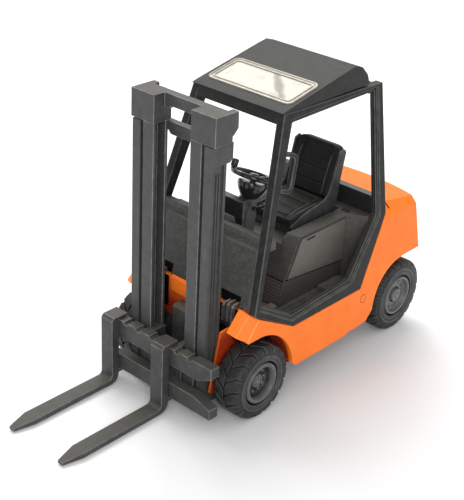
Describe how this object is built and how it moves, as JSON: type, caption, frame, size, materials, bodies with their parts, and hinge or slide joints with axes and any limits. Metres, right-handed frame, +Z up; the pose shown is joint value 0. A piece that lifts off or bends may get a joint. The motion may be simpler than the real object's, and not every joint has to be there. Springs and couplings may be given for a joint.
{
  "type": "toy forklift",
  "caption": "Toy counterbalance forklift with a tilting two-stage mast, lifting fork carriage, sliding forks, rolling wheels and steered rear axle under an open cab.",
  "frame": {"origin": "on the ground, under the middle of the overall length and width", "axes": "+Z up, forks towards -Y, the truck's left side towards +X"},
  "size_m": [0.049, 0.1285, 0.0884],
  "materials": {
    "orange_paint": "satin",
    "black_plastic": "matte",
    "black_gloss": "gloss",
    "steel": "brushed",
    "axle_grey": "matte",
    "cab_plastic": "satin",
    "window": "clear",
    "seat_skin": "gloss",
    "seat_grey": "satin",
    "mast_metal": "satin",
    "fork_metal": "satin",
    "rim_plastic": "satin",
    "tyre": "matte"
  },
  "bodies": {
    "truck": {"body_casting": "orange_paint", "base_plate": "black_plastic", "base_screws": "steel", "side_pins": "orange_paint", "axle_housing": "axle_grey", "hoses_left": "black_gloss", "hoses_right": "black_gloss", "cab_side_left": "cab_plastic", "cab_side_right": "cab_plastic", "roof": "cab_plastic", "roof_window": "window", "rear_bar": "cab_plastic", "cowl": "cab_plastic", "dash_shelf": "cab_plastic", "floor_pan": "cab_plastic", "step_left": "cab_plastic", "step_right": "cab_plastic", "engine_hood": "cab_plastic", "hood_panel_left": "cab_plastic", "hood_panel_right": "cab_plastic", "rear_panel": "black_plastic", "seat_base": "black_gloss", "seat_shell": "seat_grey", "seat_cushion": "seat_skin", "seat_back": "seat_skin", "steering_column": "black_plastic", "lever_console": "black_plastic", "levers": "black_gloss", "pedals": "black_gloss", "grab_handle": "cab_plastic", "mast_pin": "steel", "rear_axle_beam": "axle_grey"},
    "outer_mast": {"outer_rail_left": "mast_metal", "outer_rail_right": "mast_metal", "outer_top_bar": "mast_metal", "outer_low_bar": "mast_metal"},
    "inner_mast": {"inner_rail_left": "mast_metal", "inner_rail_right": "mast_metal", "inner_low_bar": "mast_metal", "mast_head": "mast_metal"},
    "carriage": {"carriage_plate_left": "fork_metal", "carriage_plate_right": "fork_metal", "carriage_upper_bar": "fork_metal", "carriage_lower_bar": "fork_metal"},
    "left_fork": {"fork_left": "fork_metal"},
    "right_fork": {"fork_right": "fork_metal"},
    "front_wheels": {"front_shaft": "steel", "front_rim_left": "rim_plastic", "front_rim_right": "rim_plastic", "front_tyre_left": "tyre", "front_tyre_right": "tyre"},
    "left_knuckle": {"knuckle_left": "axle_grey"},
    "right_knuckle": {"knuckle_right": "axle_grey"},
    "track_rod": {"tie_rod": "axle_grey"},
    "rear_left_wheel": {"rear_rim_left": "rim_plastic", "rear_tyre_left": "tyre"},
    "rear_right_wheel": {"rear_rim_right": "rim_plastic", "rear_tyre_right": "tyre"},
    "hand_wheel": {"steering_wheel": "black_gloss"}
  },
  "joints": [
    {"name": "mast_tilt", "type": "hinge", "parent": "truck", "child": "outer_mast", "pos_m": [0, -0.0154, 0.0065], "axis": [1, 0, 0], "range_deg": [-6, 3]},
    {"name": "mast_lift", "type": "slide", "parent": "outer_mast", "child": "inner_mast", "axis": [0, 0, 1], "range_m": [0, 0.05]},
    {"name": "carriage_lift", "type": "slide", "parent": "inner_mast", "child": "carriage", "axis": [0, 0, 1], "range_m": [0, 0.052]},
    {"name": "left_fork_shift", "type": "slide", "parent": "carriage", "child": "left_fork", "axis": [1, 0, 0], "range_m": [-0.001, 0.0145]},
    {"name": "right_fork_shift", "type": "slide", "parent": "carriage", "child": "right_fork", "axis": [1, 0, 0], "range_m": [-0.0008, 0.0105]},
    {"name": "front_wheel_spin", "type": "hinge", "parent": "truck", "child": "front_wheels", "pos_m": [0, -0.0118, 0.0108], "axis": [1, 0, 0], "continuous": true},
    {"name": "left_steer", "type": "hinge", "parent": "truck", "child": "left_knuckle", "pos_m": [0.0114, 0.0532, 0.0115], "axis": [0, 0, 1], "range_deg": [-25, 25]},
    {"name": "right_steer", "type": "hinge", "parent": "truck", "child": "right_knuckle", "pos_m": [-0.0114, 0.0532, 0.0115], "axis": [0, 0, 1], "range_deg": [-25, 25]},
    {"name": "track_rod_slide", "type": "slide", "parent": "truck", "child": "track_rod", "axis": [1, 0, 0], "range_m": [-0.0029, 0.0029]},
    {"name": "rear_left_spin", "type": "hinge", "parent": "left_knuckle", "child": "rear_left_wheel", "pos_m": [0.0183, 0.0532, 0.0115], "axis": [1, 0, 0], "continuous": true},
    {"name": "rear_right_spin", "type": "hinge", "parent": "right_knuckle", "child": "rear_right_wheel", "pos_m": [-0.0183, 0.0532, 0.0115], "axis": [1, 0, 0], "continuous": true},
    {"name": "hand_wheel_turn", "type": "hinge", "parent": "truck", "child": "hand_wheel", "pos_m": [0, 0.0082, 0.0574], "axis": [0, 0.3746, 0.9272], "continuous": true}
  ],
  "couplings": [
    {"joint": "right_steer", "follows": "left_steer", "ratio": 1},
    {"joint": "track_rod_slide", "follows": "left_steer", "m_per_rad": -0.0060051}
  ]
}
